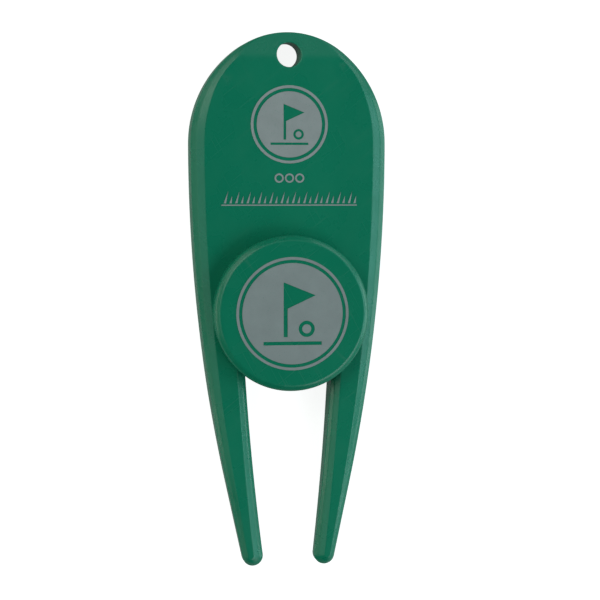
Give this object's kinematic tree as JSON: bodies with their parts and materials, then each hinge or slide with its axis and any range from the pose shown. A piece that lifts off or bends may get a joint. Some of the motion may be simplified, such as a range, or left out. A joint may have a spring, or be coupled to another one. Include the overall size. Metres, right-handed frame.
{
  "type": "divot repair tool",
  "caption": "Flat two-pronged pitch-mark repair fork in gloss moulded plastic, with an arched head, a key-ring hole, a bevelled rim and a push-in round ball marker on its front.",
  "frame": {"origin": "middle of the length and width, on the flat back face that the tool lies on", "axes": "+Z is the normal of the printed front face, +Y runs from the prong tips to the key-ring hole, +X runs across"},
  "size_m": [0.0304, 0.0828, 0.0082],
  "materials": {
    "moulded_body": "glossy solid-colour green injection moulding",
    "moulded_marker": "glossy solid-colour green injection moulding",
    "grey_ink": "satin pad-printed ink, 0.05 mm thick"
  },
  "bodies": {
    "fork": {"fork_body": "moulded_body", "body_badge_print": "grey_ink", "body_ornament_print": "grey_ink"},
    "marker": {"ball_marker": "moulded_marker", "marker_badge_print": "grey_ink"}
  },
  "joints": [
    {"name": "marker_pull", "type": "slide", "parent": "fork", "child": "marker", "axis": [0, 0, 1], "range_m": [0, 0.006]}
  ]
}
